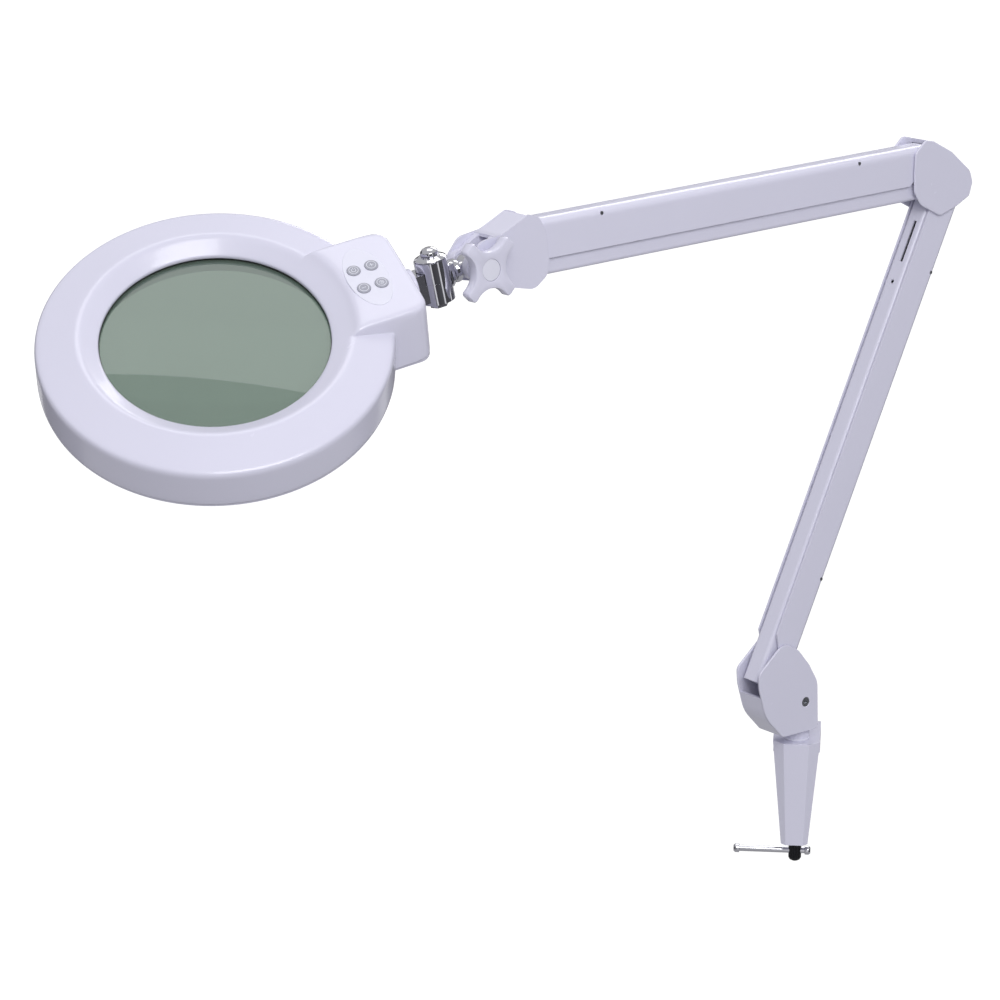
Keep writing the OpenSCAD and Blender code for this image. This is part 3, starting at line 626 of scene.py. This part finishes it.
def knob_outline(inset):
    """Four lobes with flat ends and round corners, and a round scoop between each two, moved inward."""
    reach = SCOOP + inset
    tip_x = LOBE - inset - TIP_ROUND
    tip_y = SCOOP_AT - math.sqrt((reach + TIP_ROUND) ** 2 - (tip_x - SCOOP_AT) ** 2)
    last = math.atan2(SCOOP_AT - tip_y, SCOOP_AT - tip_x)
    lobe = []
    for side in (-1, 1):
        for i in range(TIP_STEPS):
            share = i / (TIP_STEPS - 1)
            turn = last * (share if side > 0 else share - 1)
            lobe.append((tip_x + TIP_ROUND * math.cos(turn), side * tip_y + TIP_ROUND * math.sin(turn)))
    first = last + math.pi
    for i in range(1, SCOOP_STEPS):
        turn = first + (1.5 * math.pi - last - first) * i / SCOOP_STEPS
        lobe.append((SCOOP_AT + reach * math.cos(turn), SCOOP_AT + reach * math.sin(turn)))
    quarters = [Matrix.Rotation(2 * math.pi * k / LOBES, 2) for k in range(LOBES)]
    return [quarter @ Vector(p) for quarter in quarters for p in lobe]


def knob_circle(radius):
    return [radius * p.normalized() for p in knob_outline(0)]


def star_knob():
    """The moulded knob: rings of points from the back of its hub to the floor of its recess."""
    rings = [(knob_circle(radius), depth) for radius, depth in HUB]
    rings += [(knob_outline(inset), depth) for inset, depth in KNOB_ROWS]
    rings += [(knob_circle(radius), depth) for radius, depth in RECESS]
    points = [(p.x, depth, p.y) for ring, depth in rings for p in ring]
    around = len(rings[0][0])
    faces = []
    for r in range(len(rings) - 1):
        for i in range(around):
            j = (i + 1) % around
            faces.append([r * around + i, r * around + j, (r + 1) * around + j, (r + 1) * around + i])
    faces.append([len(points) - around + i for i in range(around)])
    knob_x = math.cos(KNOB_TURN) * arm_y.cross(UP) + math.sin(KNOB_TURN) * UP
    matrix = frame_matrix(knob_x, arm_y, knob_x.cross(arm_y), joint_pos("head_tilt"))
    mesh = mesh_from("star_knob", points, faces, matrix, KNOB_SHARP_DEG)
    add_piece("star_knob_moulded", mesh, "knob", "white_plastic", "star_knob")


star_knob()

# ---------- stage, light and camera ----------

FLOOR_DROP = 1.5
FLOOR_HALF = 40
FLOOR_GREY = 0.05
# (position, colour) up the sky, and round each of the dark surround's strips
SKY = [(0.0, (0.42, 0.42, 0.43, 1)), (0.5, (0.50, 0.50, 0.51, 1)), (1.0, (0.62, 0.62, 0.63, 1))]
STRIP = [
    (0.0, (0.07, 0.07, 0.075, 1)), (0.72, (0.10, 0.10, 0.11, 1)), (0.82, (0.9, 0.9, 0.92, 1)),
    (0.92, (0.9, 0.9, 0.92, 1)), (0.97, (0.06, 0.06, 0.065, 1)),
]
STRIPS = 7.0
WALL_R, WALL_LOW, WALL_HIGH, WALL_STEPS = 3.2, -2.0, 1.6, 64
# where the key light stands: along the lens's mirrored sight line, and beyond it away from the camera
KEY_REACH, KEY_BEYOND = 2.1, 0.33
# fitted to the photo
CAMERA_PLACE = Vector((0.0371, -2.5127, 0.8440))
CAMERA_LOOK = Vector((-0.1012, 0.9624, -0.2521))
CAMERA_LENS, CAMERA_SENSOR, CAMERA_CLIP = 124.8, 36, 200
lowest, highest = cad_box
centre = (lowest + highest) / 2


def set_piece(name, points, faces, place):
    thing = bpy.data.objects.new(name, mesh_from(name, points, faces))
    thing.location = place
    bpy.context.scene.collection.objects.link(thing)
    return thing


def stage_material(name):
    material = bpy.data.materials.new(name)
    material.use_nodes = True
    return material


def white_floor():
    """A glowing sheet well below the lamp, which only the camera and clear parts see."""
    corners = [(FLOOR_HALF * x, FLOOR_HALF * y, 0) for x, y in ((-1, -1), (1, -1), (1, 1), (-1, 1))]
    floor = set_piece("floor", corners, [[0, 1, 2, 3]], (0, 0, lowest.z - FLOOR_DROP))
    floor.visible_diffuse = False
    floor.visible_glossy = False
    paper = stage_material("paper")
    shader = paper.node_tree.nodes["Principled BSDF"]
    shader.inputs["Base Color"].default_value = (FLOOR_GREY, FLOOR_GREY, FLOOR_GREY, 1)
    shader.inputs["Emission Color"].default_value = (1, 1, 1, 1)
    shader.inputs["Emission Strength"].default_value = 1.0
    floor.data.materials.append(paper)


def studio_world():
    """A grey sky for even light, paler higher up."""
    world = bpy.data.worlds.new("studio")
    bpy.context.scene.world = world
    world.use_nodes = True
    tree = world.node_tree
    split = add(tree, "ShaderNodeSeparateXYZ")
    tree.links.new(add(tree, "ShaderNodeTexCoord").outputs["Generated"], split.inputs["Vector"])
    height = mapped(tree, split.outputs["Z"], (-1.0, 1.0), (0.0, 1.0))
    background = tree.nodes["Background"]
    tree.links.new(colour_ramp(tree, height, SKY), background.inputs["Color"])
    background.inputs["Strength"].default_value = 1.0


def panel_light(name, place, aim, size, power):
    """An oblong light of a size in metres and a power in watts, turned toward an aim."""
    light = bpy.data.lights.new(name, "AREA")
    light.shape = "RECTANGLE"
    light.size, light.size_y = size
    light.energy = power
    holder = bpy.data.objects.new(name, light)
    holder.location = place
    holder.rotation_euler = (aim - place).to_track_quat("-Z", "Y").to_euler()
    bpy.context.scene.collection.objects.link(holder)


def lights():
    """A key that the lens mirrors a little below the middle of its glass, and two for the rest."""
    glint = (CAMERA_LOOK - 2 * CAMERA_LOOK.dot(head_z) * head_z).normalized()
    away = Vector((CAMERA_LOOK.x, CAMERA_LOOK.y, 0)).normalized()
    key_place = head_centre + KEY_REACH * glint + KEY_BEYOND * away
    panel_light("key", place=key_place, aim=head_centre, size=(1.4, 0.9), power=7)
    panel_light("front", place=centre + Vector((0.7, -2.0, 1.5)), aim=centre, size=(1.4, 1.2), power=32)
    panel_light("rear", place=centre + Vector((0.4, 2.0, 1.6)), aim=centre, size=(1.2, 0.8), power=12)


def dark_surround():
    """A dark wall with bright strips, which only gloss and chrome see."""
    points, faces = [], []
    for i in range(WALL_STEPS):
        turn = 2 * math.pi * i / WALL_STEPS
        points += [(WALL_R * math.cos(turn), WALL_R * math.sin(turn), z) for z in (WALL_LOW, WALL_HIGH)]
        after = (i + 1) % WALL_STEPS
        faces.append([2 * i, 2 * i + 1, 2 * after + 1, 2 * after])
    wall = set_piece("surround", points, faces, centre)
    wall.visible_camera = False
    wall.visible_diffuse = False
    wall.visible_transmission = False
    wall.visible_shadow = False
    dark = stage_material("surround")
    tree = dark.node_tree
    turns = add(tree, "ShaderNodeTexGradient", gradient_type="RADIAL")
    tree.links.new(add(tree, "ShaderNodeTexCoord").outputs["Object"], turns.inputs["Vector"])
    times = add(tree, "ShaderNodeMath", operation="MULTIPLY")
    times.inputs[1].default_value = STRIPS
    tree.links.new(turns.outputs["Fac"], times.inputs[0])
    share = add(tree, "ShaderNodeMath", operation="FRACT")
    tree.links.new(times.outputs["Value"], share.inputs[0])
    glow = add(tree, "ShaderNodeEmission")
    tree.links.new(colour_ramp(tree, share.outputs["Value"], STRIP), glow.inputs["Color"])
    tree.links.new(glow.outputs["Emission"], tree.nodes["Material Output"].inputs["Surface"])
    wall.data.materials.append(dark)


def camera():
    """A long lens from the photo's side, with colours shown as they are."""
    view = bpy.data.cameras.new("camera")
    view.lens = CAMERA_LENS
    view.sensor_width = CAMERA_SENSOR
    view.clip_end = CAMERA_CLIP
    holder = bpy.data.objects.new("camera", view)
    holder.location = CAMERA_PLACE
    holder.rotation_euler = CAMERA_LOOK.to_track_quat("-Z", "Y").to_euler()
    bpy.context.scene.collection.objects.link(holder)
    bpy.context.scene.camera = holder
    bpy.context.scene.view_settings.view_transform = "Standard"


white_floor()
studio_world()
lights()
dark_surround()
camera()
